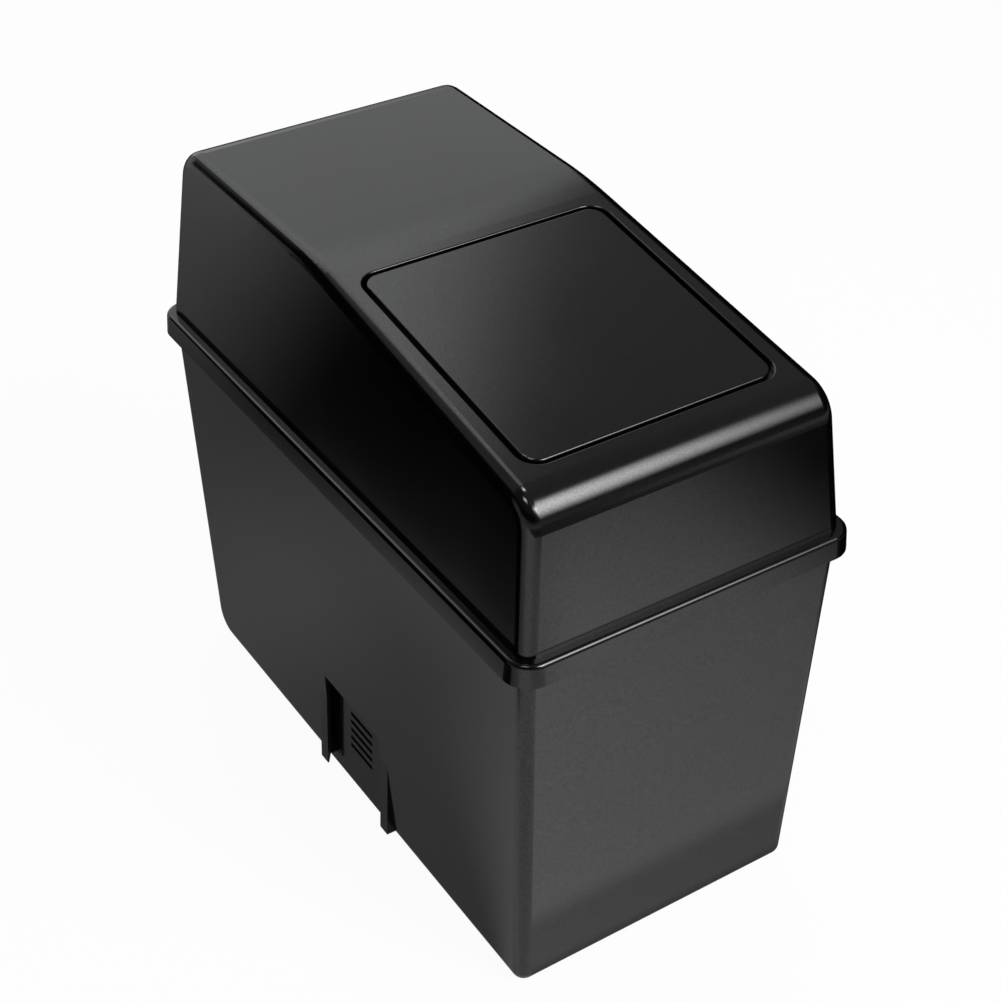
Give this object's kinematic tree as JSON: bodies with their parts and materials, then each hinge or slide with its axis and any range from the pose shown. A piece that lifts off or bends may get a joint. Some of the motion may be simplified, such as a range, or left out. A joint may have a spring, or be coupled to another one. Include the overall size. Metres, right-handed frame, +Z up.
{
  "type": "car trash bin",
  "caption": "Black plastic car trash bin: tapered bucket with a bracket channel, lift-off sloping hood and a sprung push-in flap.",
  "frame": {"origin": "centre of the base, on the surface it stands on", "axes": "+Z up, the short front end with the low end of the flap faces -Y, the bracket channel faces -X"},
  "size_m": [0.1264, 0.2398, 0.2143],
  "materials": {
    "bin_plastic": "satin",
    "hood_plastic": "satin gloss",
    "flap_plastic": "satin gloss",
    "pin_steel": "ground",
    "spring_steel": "drawn wire"
  },
  "bodies": {
    "bin": {"bin_body": "bin_plastic"},
    "hood": {"hood": "hood_plastic", "hinge_pin": "pin_steel", "return_spring": "spring_steel"},
    "flap": {"flap": "flap_plastic"}
  },
  "joints": [
    {"name": "hood_lift", "type": "slide", "parent": "bin", "child": "hood", "axis": [0, 0, 1], "range_m": [0, 0.09]},
    {"name": "flap_hinge", "type": "hinge", "parent": "hood", "child": "flap", "pos_m": [0, -0.00015, 0.20494], "axis": [1, 0, 0], "range_deg": [0, 75], "stiffness_Nm_per_rad": 0.012, "springref_deg": -80.21, "deforming": ["return_spring"]}
  ]
}
